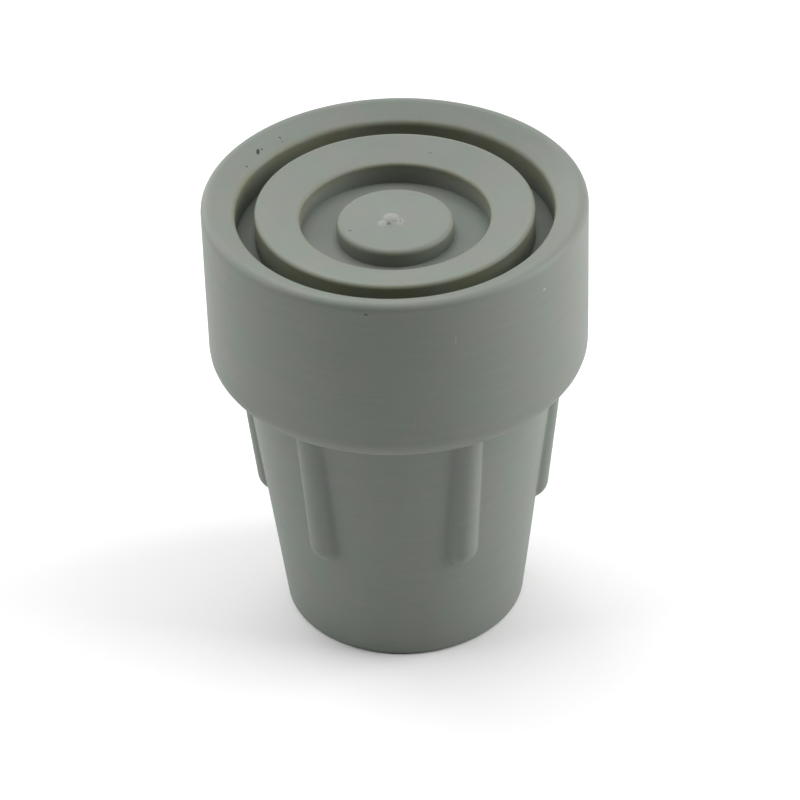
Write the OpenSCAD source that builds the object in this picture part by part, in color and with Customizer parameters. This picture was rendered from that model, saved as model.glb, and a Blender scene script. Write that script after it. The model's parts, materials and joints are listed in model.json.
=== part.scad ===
// Rubber tip for the foot of a walking cane or a crutch, moulded in one piece.
// It stands on the mouth of its socket with the tread up: the plane of the mouth is z = 0,
// and the z axis is the axis of the socket. Lengths are in millimetres.

/* [Head] */
// Diameter of the head
head_d = 38; // [34:0.5:50]
// Height of the head, from its shoulder to the top of its rim
head_h = 18.4; // [14:0.1:30]
// Rounding of the rim
rim_round = 0.75; // [0.2:0.05:1.2]
// Rounding of the outer edge of the shoulder
shoulder_round = 2.2; // [0.4:0.1:2.4]

/* [Tread] */
// Width of the rim, out to the side of the head
rim_w = 3.3; // [2.4:0.1:5]
// Slope of the rim's face, down to the outer groove, in degrees
rim_slope = 28; // [5:1:35]
// Depth of the floor of the two grooves below the top of the rim
tread_depth = 4.45; // [4:0.05:6]
// Width of the outer groove
groove_w = 1.9; // [1.2:0.1:3]
// Width of the ring between the two grooves
ring_w = 4.4; // [1.5:0.1:5.4]
// Drop of the ring's outer edge below the top of the rim
ring_drop = 1.15; // [0.5:0.05:1.5]
// Slope of the ring's face, down to the inner groove, in degrees
ring_slope = 13.4; // [0:0.1:15]
// Width of the inner groove, which leaves the boss in the middle
recess_w = 3.6; // [2:0.1:5]
// Drop of the boss below the top of the rim
boss_drop = 2.65; // [1:0.05:2.8]
// Rounding of the inner edge of the rim
groove_round = 0.6; // [0.1:0.05:0.8]
// Rounding of the two edges of the ring
ring_round = 0.35; // [0.1:0.05:0.6]
// Rounding of the edge of the boss
boss_round = 0.5; // [0.1:0.05:0.7]
// Rounding at the foot of the groove walls
floor_round = 0.05; // [0.05:0.05:0.4]

/* [Sleeve] */
// Height of the sleeve, from the mouth to the shoulder
sleeve_h = 29.5; // [24:0.1:50]
// Width of the shoulder, from the side of the head in to the sleeve
shoulder_w = 3.15; // [3:0.05:4]
// Rounding of the outer edge of the mouth
mouth_round = 0.5; // [0.1:0.1:1]
// Rounding of the corner between the sleeve and the shoulder
neck_round = 0.5; // [0.1:0.1:0.5]

/* [Socket] */
// Diameter of the tube that the socket grips
socket_d = 19; // [14:0.1:23]
// Depth of the socket
socket_depth = 35; // [20:0.5:38]
// Thickness of the wall round the mouth
mouth_wall = 2.8; // [2.2:0.05:4]
// Rounding of the inner edge of the mouth
lip_round = 0.8; // [0.1:0.1:1]
// Rounding round the end of the socket
socket_end_round = 1.2; // [0.2:0.1:3]

/* [Ribs] */
// Number of ribs round the sleeve
rib_count = 6; // [2:1:12]
// Width of a rib where it leaves the sleeve
rib_w = 3.4; // [2.4:0.1:4.4]
// Height of a rib above the sleeve at its lower end
rib_rise = 1.05; // [0.3:0.01:1.1]
// How much lower a rib stands where it meets the shoulder
rib_fade = 0.2; // [0:0.01:0.25]
// Height of the ribs' lower ends above the mouth
rib_start = 12; // [6:0.1:20]

/* [Hidden] */
$fn = 96;
head_r = head_d / 2;
socket_r = socket_d / 2;
mouth_r = socket_r + mouth_wall;
sleeve_top_r = head_r - shoulder_w;
groove_outer_r = head_r - rim_w;
ring_outer_r = groove_outer_r - groove_w;
ring_inner_r = ring_outer_r - ring_w;
boss_r = ring_inner_r - recess_w;
total_h = sleeve_h + head_h;
floor_z = total_h - tread_depth;

// Heights of the sloping faces where they would meet the walls beside them, if left sharp. The
// rim's outer corner is set so that its rounding just reaches the full height.
rim_top_z = total_h
    + rim_round * (cos(rim_slope) + tan(rim_slope) * (1 + sin(rim_slope)) - 1);
rim_edge_z = rim_top_z - rim_w * tan(rim_slope);
ring_edge_z = total_h - ring_drop;
ring_low_z = ring_edge_z - ring_w * tan(ring_slope);
boss_z = total_h - boss_drop;

// Corners of the section, each [x, z, rounding]: of the socket and the mouth, from the middle
// of the socket's blind end
socket_corners = [
    [0, socket_depth, 0],
    [socket_r, socket_depth, socket_end_round],
    [socket_r, 0, lip_round],
    [mouth_r, 0, mouth_round]
];
// Of the upper end of the sleeve and the side of the head
side_corners = [
    [sleeve_top_r, sleeve_h, neck_round],
    [head_r, sleeve_h, shoulder_round],
    [head_r, rim_top_z, rim_round]
];
// Of the tread, from the inner edge of the rim to the middle of the boss
tread_corners = [
    [groove_outer_r, rim_edge_z, groove_round],
    [groove_outer_r, floor_z, floor_round],
    [ring_outer_r, floor_z, floor_round],
    [ring_outer_r, ring_edge_z, ring_round],
    [ring_inner_r, ring_low_z, ring_round],
    [ring_inner_r, floor_z, floor_round],
    [boss_r, floor_z, floor_round],
    [boss_r, boss_z, boss_round],
    [0, boss_z, 0]
];

// A rib is a rod let into the sleeve: its radius follows from its width and its rise
rib_r = (pow(rib_w / 2, 2) + pow(rib_rise, 2)) / (2 * rib_rise);
// How much the rod narrows on its way up to the shoulder
rib_taper = 0.99;
sleeve_lean = atan((sleeve_top_r - mouth_r) / sleeve_h);

function unit(v) = v / norm(v);
function half_angle(a, b, c) = acos(unit(a - b) * unit(c - b)) / 2;
function is_convex(a, b, c) = cross(b - a, c - b) > 0;
function centre_at(a, b, c, r) = b + unit(unit(a - b) + unit(c - b)) * r / sin(half_angle(a, b, c));
function tangents_at(a, b, c, r) =
    r == 0 ? [b] : [for (end = [a, c]) b + unit(end - b) * r / tan(half_angle(a, b, c))];

// Radius of the sleeve at a height
function sleeve_r(z) = mouth_r + z * tan(sleeve_lean);

// A counterclockwise outline of straight edges whose corners are true arcs.
// Each corner is [x, z, rounding].
module rounded_outline(corners) {
    count = len(corners);
    points = [for (corner = corners) [corner[0], corner[1]]];
    last = count - 1;
    difference() {
        union() {
            polygon([
                for (i = [0 : last])
                    for (p = tangents_at(points[(i + last) % count], points[i],
                                         points[(i + 1) % count], corners[i][2])) p
            ]);
            corner_discs(points, corners, true);
        }
        corner_discs(points, corners, false);
    }
}

// The discs that round the convex or the concave corners of an outline
module corner_discs(points, corners, convex) {
    count = len(points);
    for (i = [0 : count - 1]) {
        before = points[(i + count - 1) % count];
        after = points[(i + 1) % count];
        if (corners[i][2] > 0 && is_convex(before, points[i], after) == convex) {
            translate(centre_at(before, points[i], after, corners[i][2])) circle(corners[i][2]);
        }
    }
}

// Half of the section of the whole tip, between two ribs
module tip_section() {
    rounded_outline(concat(socket_corners, side_corners, tread_corners));
}

// One rib on the +X side: a rod with a ball end, leaning with the sleeve and turned so that
// its seam lies inside the rubber
module rib_rod() {
    foot_z = rib_start + rib_w / 2;
    foot_x = sleeve_r(foot_z) + (rib_rise - rib_r) / cos(sleeve_lean);
    top_x = sleeve_r(sleeve_h) + (rib_rise - rib_fade - rib_r) / cos(sleeve_lean);
    run_z = sleeve_h - foot_z;
    rib_lean = atan((top_x - foot_x) / run_z);
    translate([foot_x, 0, foot_z]) rotate([0, rib_lean, 0]) rotate(180) {
        sphere(rib_r);
        cylinder(r1 = rib_r, r2 = rib_r * rib_taper, h = run_z / cos(rib_lean) + neck_round);
    }
}

// The ribs, kept out of the socket
module ribs() {
    difference() {
        for (i = [0 : rib_count - 1]) {
            rotate(i * 360 / rib_count) rib_rod();
        }
        cylinder(r = socket_r + mouth_wall / 4, h = total_h);
    }
}

// The tip, with a rib on the +X side and the seam of the turned body midway between two ribs
module cane_tip() {
    color([0.47, 0.5, 0.46]) {
        rotate(180 / rib_count) rotate_extrude() tip_section();
        ribs();
    }
}

cane_tip();
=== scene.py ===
"""A grey rubber cane tip standing on its mouth with the tread up, in plain soft studio light."""
import json
import math

import bpy
from mathutils import Matrix, Vector, noise


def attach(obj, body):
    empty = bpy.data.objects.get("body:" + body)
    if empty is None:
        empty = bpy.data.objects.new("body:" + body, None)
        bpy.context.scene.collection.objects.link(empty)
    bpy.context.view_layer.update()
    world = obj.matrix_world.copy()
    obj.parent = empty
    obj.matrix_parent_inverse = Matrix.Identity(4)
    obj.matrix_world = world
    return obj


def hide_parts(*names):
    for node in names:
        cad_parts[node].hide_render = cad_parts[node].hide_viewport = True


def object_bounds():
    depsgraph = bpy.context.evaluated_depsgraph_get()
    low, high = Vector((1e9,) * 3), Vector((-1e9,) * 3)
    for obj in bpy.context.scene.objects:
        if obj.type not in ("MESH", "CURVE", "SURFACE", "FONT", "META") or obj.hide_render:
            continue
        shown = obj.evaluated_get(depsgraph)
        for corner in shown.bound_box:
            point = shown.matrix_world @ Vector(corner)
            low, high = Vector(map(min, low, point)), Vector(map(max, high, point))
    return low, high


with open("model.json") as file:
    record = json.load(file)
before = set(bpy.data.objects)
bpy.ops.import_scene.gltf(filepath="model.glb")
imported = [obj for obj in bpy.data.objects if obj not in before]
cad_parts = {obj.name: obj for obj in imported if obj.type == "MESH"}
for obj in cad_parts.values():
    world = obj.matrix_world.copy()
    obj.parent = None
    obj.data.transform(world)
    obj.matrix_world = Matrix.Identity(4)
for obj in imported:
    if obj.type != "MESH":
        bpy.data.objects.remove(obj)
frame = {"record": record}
cad_lo, cad_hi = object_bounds()

# ---------------------------------------------------------------- sizes, in millimetres
MM = 0.001
NODE = "cane_tip"
SOCKET = next(m for m in frame["record"]["mounts"] if m["name"] == "tube_socket")

SLEEVE_H = 29.5
SHOULDER_W = 3.15
SOCKET_DEPTH = 35.0
MOUTH_WALL = 2.8
RIM_W = 3.3
RIM_SLOPE = math.radians(28)
GROOVE_W = 1.9
RING_W = 4.4
RING_DROP = 1.15
RING_SLOPE = math.radians(13.4)
RECESS_W = 3.6
BOSS_DROP = 2.65
TREAD_DEPTH = 4.45

TOTAL_H = cad_hi.z / MM
HEAD_R = cad_hi.x / MM
SOCKET_R = SOCKET["dims"]["r_mm"]
MOUTH_R = SOCKET_R + MOUTH_WALL
SLEEVE_TOP_R = HEAD_R - SHOULDER_W
GROOVE_OUTER_R = HEAD_R - RIM_W
RING_OUTER_R = GROOVE_OUTER_R - GROOVE_W
RING_INNER_R = RING_OUTER_R - RING_W
BOSS_R = RING_INNER_R - RECESS_W
FLOOR_Z = TOTAL_H - TREAD_DEPTH

RIM_ROUND = 0.75
SHOULDER_ROUND = 2.2
NECK_ROUND = 0.5
MOUTH_ROUND = 0.5
LIP_ROUND = 0.8
SOCKET_END_ROUND = 1.2
GROOVE_ROUND = 0.6
RING_ROUND = 0.35
BOSS_ROUND = 0.5
FLOOR_ROUND = 0.05

RIB_COUNT = 6
RIB_W = 3.4
RIB_RISE = 1.05
RIB_FADE = 0.2
RIB_START = 12.0
RIB_FILLET = 0.12
RIB_BALL_Z = RIB_START + RIB_W / 2
RIB_R = (RIB_W**2 / 4 + RIB_RISE**2) / (2 * RIB_RISE)

LEAN = math.atan((SLEEVE_TOP_R - MOUTH_R) / SLEEVE_H)
# How far the moulding's unevenness goes, and the size of its swells as a share of 1 mm.
WAVE = 0.05
WAVE_SCALE = 0.09

# The mesh's columns: their step across a rib, how many lie each side of its middle, and the
# number of steps from one rib to the next.
RIB_STEP = 0.15
RIB_COLUMNS = 16
GAP_STEPS = 17

# The torn gate in the middle of the boss: u to the right, v away, half widths, and height.
GATE_R = 2.5
GATE_TURN = math.radians(5.5)
GATE_LUMPS = (
    (-0.43, 0.30, 0.92, 0.85, 0.24),
    (-1.22, -0.72, 0.52, 0.75, 0.13),
    (0.52, -0.42, 0.42, 0.58, 0.15),
    (0.50, -0.42, 0.15, 0.18, -0.13),
    (-0.60, -0.72, 0.28, 0.32, -0.14),
)


# ---------------------------------------------------------------- the tip's section
def sleeve_r(z):
    """Radius of the sleeve between its ribs."""
    return MOUTH_R + z * math.tan(LEAN)


def stretch(a, b, step, edge=0.05):
    """Points between two ends, which are left out, with one close to each end to keep the face flat."""
    length = math.dist(a, b)
    if length < 4 * edge:
        return []
    count = max(1, round(length / step))
    runs = [edge] + [length * i / count for i in range(1, count)] + [length - edge]
    return [(a[0] + (b[0] - a[0]) * t / length, a[1] + (b[1] - a[1]) * t / length) for t in runs]


def corner_arc(before, corner, after, radius, steps=7):
    """Points of the arc that rounds a corner, in the order of the path."""
    corner = Vector(corner)
    u, v = (Vector(before) - corner).normalized(), (Vector(after) - corner).normalized()
    half = u.angle(v) / 2
    centre = corner + (u + v).normalized() * radius / math.sin(half)
    start = corner + u * radius / math.tan(half) - centre
    turn = math.copysign(math.pi - 2 * half, u.y * v.x - u.x * v.y)
    points = [Matrix.Rotation(turn * i / steps, 2) @ start + centre for i in range(steps + 1)]
    return [tuple(p) for p in points]


def rounded_path(corners):
    """Points along a path of corners, each (r, z, rounding, step of the run before it)."""
    points = []
    for i, (r, z, rounding, step) in enumerate(corners):
        here = [(r, z)]
        if rounding:
            here = corner_arc(corners[i - 1][:2], (r, z), corners[i + 1][:2], rounding)
        if points:
            points += stretch(points[-1], here[0], step)
        points += here
    return points


RIM_CORNER_Z = TOTAL_H + RIM_ROUND * (
    math.cos(RIM_SLOPE) + math.tan(RIM_SLOPE) * (1 + math.sin(RIM_SLOPE)) - 1)
RIM_EDGE_Z = RIM_CORNER_Z - (HEAD_R - GROOVE_OUTER_R) * math.tan(RIM_SLOPE)
RING_EDGE_Z = TOTAL_H - RING_DROP
RING_LOW_Z = RING_EDGE_Z - (RING_OUTER_R - RING_INNER_R) * math.tan(RING_SLOPE)
BOSS_Z = TOTAL_H - BOSS_DROP


def section():
    """The tip's section from the middle of the tread round to the blind end of the socket."""
    return rounded_path([
        (0.06, BOSS_Z, 0, 1),
        (2.4, BOSS_Z, 0, 0.06),
        (BOSS_R, BOSS_Z, BOSS_ROUND, 0.4),
        (BOSS_R, FLOOR_Z, FLOOR_ROUND, 0.4),
        (RING_INNER_R, FLOOR_Z, FLOOR_ROUND, 0.5),
        (RING_INNER_R, RING_LOW_Z, RING_ROUND, 0.4),
        (RING_OUTER_R, RING_EDGE_Z, RING_ROUND, 0.5),
        (RING_OUTER_R, FLOOR_Z, FLOOR_ROUND, 0.5),
        (GROOVE_OUTER_R, FLOOR_Z, FLOOR_ROUND, 0.4),
        (GROOVE_OUTER_R, RIM_EDGE_Z, GROOVE_ROUND, 0.5),
        (HEAD_R, RIM_CORNER_Z, RIM_ROUND, 0.5),
        (HEAD_R, SLEEVE_H, SHOULDER_ROUND, 0.9),
        (SLEEVE_TOP_R, SLEEVE_H, NECK_ROUND, 0.3),
        (sleeve_r(RIB_BALL_Z + 1), RIB_BALL_Z + 1, 0, 0.8),
        (sleeve_r(RIB_START - 1), RIB_START - 1, 0, 0.13),
        (MOUTH_R, 0, MOUTH_ROUND, 0.8),
        (SOCKET_R, 0, LIP_ROUND, 0.3),
        (SOCKET_R, SOCKET_DEPTH, SOCKET_END_ROUND, 2.0),
        (0.5, SOCKET_DEPTH, 0, 1.5),
    ])


# ---------------------------------------------------------------- the tip's surface
def columns():
    """Angles of the mesh's columns, close together across each rib and wider between ribs."""
    pitch = 2 * math.pi / RIB_COUNT
    mean_r = (SLEEVE_TOP_R + MOUTH_R) / 2
    near = [RIB_STEP * i / mean_r for i in range(-RIB_COLUMNS, RIB_COLUMNS + 1)]
    gap = pitch - 2 * near[-1]
    between = [near[-1] + gap * i / GAP_STEPS for i in range(1, GAP_STEPS)]
    return [k * pitch + a for k in range(RIB_COUNT) for a in near + between]


def rib_surface(angle, z):
    """Radius of the nearest rib's rod at an angle and a height: less than the sleeve's away from it."""
    pitch = 2 * math.pi / RIB_COUNT
    aside = (angle + pitch / 2) % pitch - pitch / 2
    away = math.hypot(sleeve_r(z) * aside, min(0.0, z - RIB_BALL_Z))
    fade = RIB_FADE * max(0.0, z - RIB_BALL_Z) / (SLEEVE_H - RIB_BALL_Z)
    if away > RIB_R * 0.97:
        return 0.0
    return sleeve_r(z) + (math.sqrt(RIB_R**2 - away**2) - RIB_R + RIB_RISE - fade) / math.cos(LEAN)


def blended_max(a, b, width):
    """The larger of two numbers, with a rounded corner where they are nearly equal."""
    gap = abs(a - b)
    if gap >= width:
        return max(a, b)
    return max(a, b) + (width - gap) ** 2 / (4 * width)


def gate_height(x, y):
    """Height of the torn gate above the boss."""
    u = x * math.cos(GATE_TURN) + y * math.sin(GATE_TURN)
    v = y * math.cos(GATE_TURN) - x * math.sin(GATE_TURN)
    ragged = 0.16 * noise.noise(Vector((u * 3.1, v * 3.1, 0)))
    height = 0.0
    for cu, cv, wide, deep, rise in GATE_LUMPS:
        away = math.hypot((u - cu) / wide, (v - cv) / deep) + ragged
        if away < 1:
            height += rise * (1 - max(0.0, away) ** 2) ** 2
    return height


def wave(x, y, z):
    """Slight unevenness of the moulding, from 0 to 1."""
    return min(1.0, max(0.0, 0.5 + 0.6 * noise.noise(Vector((x, y, z)) * WAVE_SCALE)))


def add_mesh(name, verts, faces):
    """A smooth mesh object from points in millimetres."""
    mesh = bpy.data.meshes.new(name)
    mesh.from_pydata([Vector(v) * MM for v in verts], [], faces)
    mesh.shade_smooth()
    mesh.update()
    obj = bpy.data.objects.new(name, mesh)
    bpy.context.collection.objects.link(obj)
    return obj


def make_tip():
    """The whole moulding as one closed surface."""
    rows = section()
    angles = columns()
    wide = len(angles)
    verts = [(0, 0, BOSS_Z + gate_height(0, 0))]
    for r, z in rows:
        on_sleeve = MOUTH_ROUND < z <= SLEEVE_H and r > MOUTH_R - 0.5
        in_socket = r <= SOCKET_R and z <= SOCKET_DEPTH
        for angle in angles:
            radius = blended_max(r, rib_surface(angle, z), RIB_FILLET) if on_sleeve else r
            x, y = radius * math.cos(angle), radius * math.sin(angle)
            if not in_socket:
                radius -= WAVE * wave(x, y, z) * min(1.0, r / 4)
                x, y = radius * math.cos(angle), radius * math.sin(angle)
            lift = gate_height(x, y) if r < GATE_R and z > FLOOR_Z else 0
            verts.append((x, y, z + lift))
    verts.append((0, 0, SOCKET_DEPTH))
    faces = [(0, 1 + i, 1 + (i + 1) % wide) for i in range(wide)]
    for row in range(len(rows) - 1):
        top, low = 1 + row * wide, 1 + (row + 1) * wide
        faces += [(top + i, low + i, low + (i + 1) % wide, top + (i + 1) % wide) for i in range(wide)]
    last, end = 1 + (len(rows) - 1) * wide, len(verts) - 1
    faces += [(end, last + (i + 1) % wide, last + i) for i in range(wide)]
    return add_mesh("moulding", verts, faces)


# ---------------------------------------------------------------- materials
def new_material(name):
    """A node material, its tree and its Principled shader."""
    material = bpy.data.materials.new(name)
    material.use_nodes = True
    return material, material.node_tree, material.node_tree.nodes["Principled BSDF"]


def plug(tree, socket, value):
    """Join a socket to an output, or set it to a constant."""
    if isinstance(value, bpy.types.NodeSocket):
        tree.links.new(value, socket)
    else:
        socket.default_value = value


def math_node(tree, operation, *values):
    node = tree.nodes.new("ShaderNodeMath")
    node.operation = operation
    for socket, value in zip(node.inputs, values):
        plug(tree, socket, value)
    return node.outputs[0]


def vector_node(tree, operation, *values, output=0):
    node = tree.nodes.new("ShaderNodeVectorMath")
    node.operation = operation
    for socket, value in zip(node.inputs, values):
        plug(tree, socket, value)
    return node.outputs[output]


def ramp(tree, value, low, high, to_low=0.0, to_high=1.0):
    """A value carried from one range to another, and held inside it."""
    node = tree.nodes.new("ShaderNodeMapRange")
    for name, number in (("From Min", low), ("From Max", high), ("To Min", to_low), ("To Max", to_high)):
        node.inputs[name].default_value = number
    plug(tree, node.inputs["Value"], value)
    return node.outputs["Result"]


def noise_node(tree, place, scale, detail, rough=0.5):
    node = tree.nodes.new("ShaderNodeTexNoise")
    plug(tree, node.inputs["Vector"], place)
    for name, number in (("Scale", scale), ("Detail", detail), ("Roughness", rough)):
        node.inputs[name].default_value = number
    return node.outputs["Fac"]


def mix(tree, factor, a, b):
    """Two colours mixed by a factor."""
    node = tree.nodes.new("ShaderNodeMix")
    node.data_type = "RGBA"
    for socket, value in zip((node.inputs[0], node.inputs[6], node.inputs[7]), (factor, a, b)):
        plug(tree, socket, value)
    return node.outputs[2]


def spots(tree, place, marks):
    """How much of any mark covers a place. A mark is its middle, three half widths and a strength."""
    covered = 0.0
    for middle, widths, strength in marks:
        offset = vector_node(tree, "SUBTRACT", place, middle)
        offset = vector_node(tree, "DIVIDE", offset, widths)
        away = vector_node(tree, "LENGTH", offset, output="Value")
        covered = math_node(tree, "MAXIMUM", covered, ramp(tree, away, 0.75, 1.15, strength, 0.0))
    return covered


# Colours, and the marks, each its middle and three half widths in millimetres, and a strength.
GREEN_GREY = (0.154, 0.180, 0.154, 1)
WARM_GREY = (0.167, 0.175, 0.155, 1)
OLIVE = (0.150, 0.154, 0.098, 1)
TORN = (0.238, 0.247, 0.228, 1)
# Specks of dirt, and painted shade in the gate's pits and beside its main lump.
DIRT_AND_SHADE = (0.012, 0.012, 0.011, 1)
SCUFF = (0.34, 0.35, 0.33, 1)
# Painted shade: the colour the tread's walls take towards the floors of the grooves and the recess.
PAINTED_SHADE = (0.055, 0.060, 0.048, 1)
WHITE_FLOOR = (0.86, 0.86, 0.86, 1)

DARK_MARKS = (
    ((-14.38, 8.66, 47.2), (0.17, 0.38, 1.2), 1.0),
    ((-14.05, 9.15, 47.2), (0.11, 0.11, 1.2), 0.9),
    ((-12.45, 11.32, 47.2), (0.15, 0.10, 1.2), 0.75),
    ((-12.20, 10.95, 47.1), (0.09, 0.09, 1.2), 0.6),
    ((-15.22, 6.19, 47.0), (0.12, 0.14, 1.2), 0.7),
    ((2.66, 10.87, 46.1), (0.16, 0.12, 0.6), 0.4),
    ((-4.25, -2.17, 45.2), (0.18, 0.14, 0.3), 0.55),
    ((-8.70, -11.90, 18.4), (0.22, 0.25, 0.12), 0.6),
    ((-1.20, -18.9, 47.0), (0.20, 0.30, 0.12), 0.65),
    # The last three are painted shade: in the gate's two pits, and trailing down from the nearer one.
    ((-0.60, -0.74, 45.2), (0.26, 0.24, 0.4), 0.30),
    ((-0.28, -1.25, 45.2), (0.22, 0.34, 0.4), 0.10),
    ((0.50, -0.42, 45.3), (0.12, 0.12, 0.4), 0.25),
)
LIGHT_MARKS = (
    ((15.2, -11.4, 45.2), (0.20, 0.20, 0.16), 0.55),
    ((7.1, -17.6, 43.4), (0.08, 0.3, 0.5), 0.22),
    ((7.5, -17.5, 42.6), (0.30, 0.3, 0.07), 0.15),
    ((-4.17, 14.9, 47.1), (0.25, 0.20, 0.9), 0.30),
)
GATE_MARKS = (
    ((-0.45, 0.38, 45.4), (0.80, 0.80, 0.6), 1.0),
    ((-1.21, -0.78, 45.3), (0.45, 0.68, 0.4), 0.75),
    ((0.54, -0.42, 45.3), (0.38, 0.54, 0.4), 0.85),
)
# The radius of each edge of the tread, and how far its olive tinge and the painted shade at the bottom
# of its walls reach.
TREAD_EDGES = ((GROOVE_OUTER_R, 0.5), (RING_OUTER_R, 0.45), (RING_INNER_R, 0.45), (BOSS_R, 0.5))


def rubber():
    """Matt grey rubber: faint clouds, flow lines, grain, olive edges, painted shade where the tread's
    walls meet their floors, and a few marks, some of them painted shade at the gate.
    """
    material, tree, shader = new_material("grey_rubber")
    coordinates = tree.nodes.new("ShaderNodeTexCoord").outputs["Object"]
    place = vector_node(tree, "MULTIPLY", coordinates, (1 / MM, 1 / MM, 1 / MM))
    split = tree.nodes.new("ShaderNodeSeparateXYZ")
    tree.links.new(place, split.inputs[0])
    flat = vector_node(tree, "MULTIPLY", place, (1, 1, 0))
    radius = vector_node(tree, "LENGTH", flat, output="Value")

    clouds = ramp(tree, noise_node(tree, place, 0.22, 3), 0.40, 0.62)
    colour = mix(tree, clouds, GREEN_GREY, WARM_GREY)
    edges = 0.0
    for edge_r, width in TREAD_EDGES:
        near = math_node(tree, "ABSOLUTE", math_node(tree, "SUBTRACT", radius, edge_r))
        edges = math_node(tree, "MAXIMUM", edges, ramp(tree, near, 0.0, width, 1.0, 0.0))
    on_tread = ramp(tree, split.outputs["Z"], FLOOR_Z + 0.4, FLOOR_Z + 2.0)
    patchy = ramp(tree, noise_node(tree, place, 0.5, 2), 0.35, 0.6, 0.4, 0.95)
    olive = math_node(tree, "MULTIPLY", math_node(tree, "MULTIPLY", edges, on_tread), patchy)
    colour = mix(tree, olive, colour, OLIVE)
    # Painted shade: near each edge of the tread, the walls darken towards the floors of the grooves and
    # the recess.
    inside = ramp(tree, split.outputs["Z"], FLOOR_Z - 0.2, FLOOR_Z - 0.1)
    low = ramp(tree, split.outputs["Z"], FLOOR_Z + 0.1, FLOOR_Z + 1.2, 0.35, 0.0)
    painted_foot_shade = math_node(tree, "MULTIPLY", math_node(tree, "MULTIPLY", edges, inside), low)
    colour = mix(tree, painted_foot_shade, colour, PAINTED_SHADE)
    bands = noise_node(tree, vector_node(tree, "MULTIPLY", place, (0.16, 0.16, 2.2)), 1.0, 3)
    speckle = noise_node(tree, place, 2.6, 4, 0.7)
    shade = math_node(tree, "ADD", ramp(tree, bands, 0.3, 0.7, -0.03, 0.03),
                      ramp(tree, speckle, 0.25, 0.75, 0.96, 1.04))
    colour = vector_node(tree, "SCALE", colour)
    tree.links.new(shade, colour.node.inputs["Scale"])
    # Specks of dirt, and painted shade in and beside the gate's pits.
    dark = spots(tree, place, DARK_MARKS)
    colour = mix(tree, spots(tree, place, GATE_MARKS), colour, TORN)
    colour = mix(tree, spots(tree, place, LIGHT_MARKS), colour, SCUFF)
    colour = mix(tree, dark, colour, DIRT_AND_SHADE)
    tree.links.new(colour, shader.inputs["Base Color"])

    grain = noise_node(tree, place, 7.0, 3, 0.6)
    pits = math_node(tree, "MULTIPLY", dark, -0.6)
    height = math_node(tree, "ADD", math_node(tree, "MULTIPLY", bands, 0.5), grain)
    height = math_node(tree, "ADD", height, pits)
    bump = tree.nodes.new("ShaderNodeBump")
    bump.inputs["Strength"].default_value = 0.35
    bump.inputs["Distance"].default_value = 0.03 * MM
    tree.links.new(height, bump.inputs["Height"])
    tree.links.new(bump.outputs["Normal"], shader.inputs["Normal"])
    tree.links.new(ramp(tree, speckle, 0.3, 0.7, 0.50, 0.60), shader.inputs["Roughness"])
    return material


def floor_material():
    """Plain matt white."""
    material, _, shader = new_material("white_floor")
    shader.inputs["Base Color"].default_value = WHITE_FLOOR
    shader.inputs["Roughness"].default_value = 0.9
    return material


# ---------------------------------------------------------------- stage, lights, camera
FLOOR_HALF = 1500
LIGHT_DISTANCE = 500
LIGHT_SIZE = 350
LIGHT_AIM_Z = 30
# Each light's name, azimuth and elevation in degrees, and power in watts. Azimuth 0 is behind the
# camera and 90 is to its right.
LIGHTS = (
    ("left", -90, 20, 0.86),
    ("right", 90, 20, 2.26),
    ("left_back", -140, 20, 1.38),
    ("right_back", 140, 20, 0.34),
    ("back", 180, 35, 0.55),
    ("top", 0, 90, 0.65),
    ("top_back", 180, 62, 0.28),
    ("left_top", -90, 55, 0.93),
    ("right_top", 90, 55, 0.90),
)


def make_floor():
    """A plain white floor in the plane of the mouth."""
    h = FLOOR_HALF
    floor = add_mesh("floor", [(-h, -h, 0), (h, -h, 0), (h, h, 0), (-h, h, 0)], [(0, 1, 2, 3)])
    floor.data.materials.append(floor_material())


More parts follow.
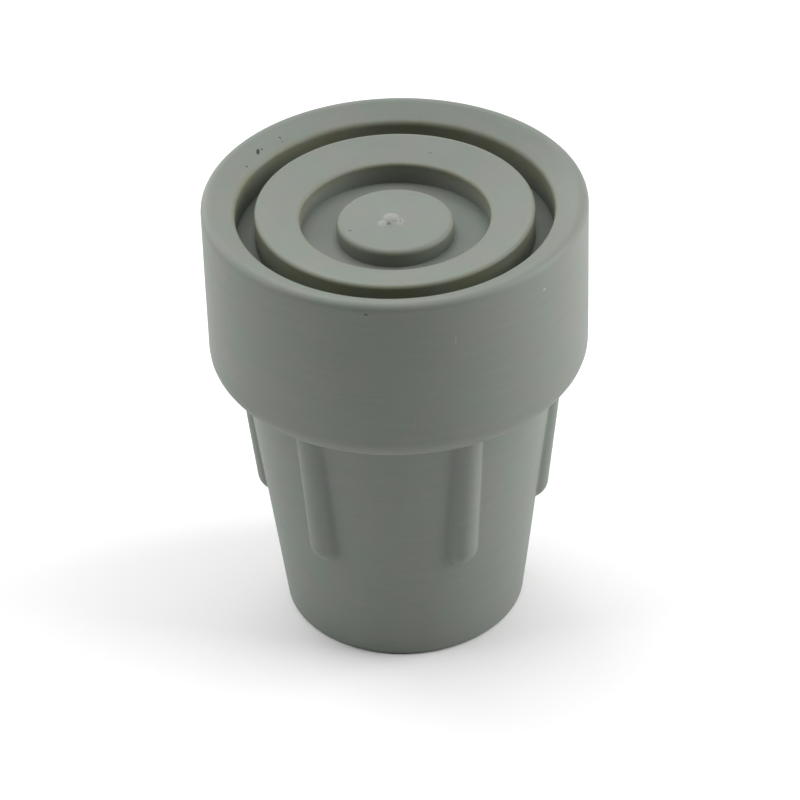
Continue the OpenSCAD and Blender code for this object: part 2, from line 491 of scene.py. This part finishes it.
def add_area(name, azimuth, elevation, power):
    """A square area light that faces the tip."""
    a, e = math.radians(azimuth + CAMERA_AZIMUTH), math.radians(elevation)
    towards = Vector((math.sin(a) * math.cos(e), -math.cos(a) * math.cos(e), math.sin(e)))
    light = bpy.data.lights.new(name, "AREA")
    light.shape = "SQUARE"
    light.size = LIGHT_SIZE * MM
    light.energy = power
    obj = bpy.data.objects.new(name, light)
    obj.location = (towards * LIGHT_DISTANCE + Vector((0, 0, LIGHT_AIM_Z))) * MM
    obj.rotation_mode = "QUATERNION"
    obj.rotation_quaternion = towards.to_track_quat("Z", "Y")
    bpy.context.collection.objects.link(obj)


CAMERA_AZIMUTH = 5.5
CAMERA_ELEVATION = 32.89
CAMERA_DISTANCE = 361.6
CAMERA_PITCH = 36.083
CAMERA_ROLL = -1.697
CAMERA_LENS = 166.69
CAMERA_AIM_Z = 48.217
CAMERA_SHIFT = 0.5 / 800


def make_camera():
    """The camera, at the photographed distance and tilt from the middle of the tread."""
    e, p, roll = (math.radians(v) for v in (CAMERA_ELEVATION, CAMERA_PITCH, CAMERA_ROLL))
    turn = Matrix.Rotation(math.radians(CAMERA_AZIMUTH), 3, "Z")
    place = Vector((0, -CAMERA_DISTANCE * math.cos(e), CAMERA_AIM_Z + CAMERA_DISTANCE * math.sin(e)))
    forward = Vector((0, math.cos(p), -math.sin(p)))
    right = Vector((1, 0, 0))
    up = right.cross(forward)
    x_axis = math.cos(roll) * right + math.sin(roll) * up
    y_axis = math.cos(roll) * up - math.sin(roll) * right
    basis = Matrix((x_axis, y_axis, -forward)).transposed()
    camera = bpy.data.objects.new("camera", bpy.data.cameras.new("camera"))
    camera.data.lens = CAMERA_LENS
    camera.data.sensor_width = 36
    camera.data.shift_x = -CAMERA_SHIFT
    camera.data.shift_y = CAMERA_SHIFT
    camera.data.clip_start = 0.01
    camera.matrix_world = Matrix.Translation(turn @ place * MM) @ (turn @ basis).to_4x4()
    bpy.context.collection.objects.link(camera)
    bpy.context.scene.camera = camera


def make_lights():
    """The soft lights, and a world that gives none."""
    for light in LIGHTS:
        add_area(*light)
    world = bpy.data.worlds.new("studio")
    world.use_nodes = True
    world.node_tree.nodes["Background"].inputs["Color"].default_value = (1, 1, 1, 1)
    world.node_tree.nodes["Background"].inputs["Strength"].default_value = 0.0
    bpy.context.scene.world = world


make_camera()
tip = make_tip()
tip.data.materials.append(rubber())
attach(tip, "root")
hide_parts(NODE)
make_floor()
make_lights()
bpy.context.scene.view_settings.view_transform = "Standard"
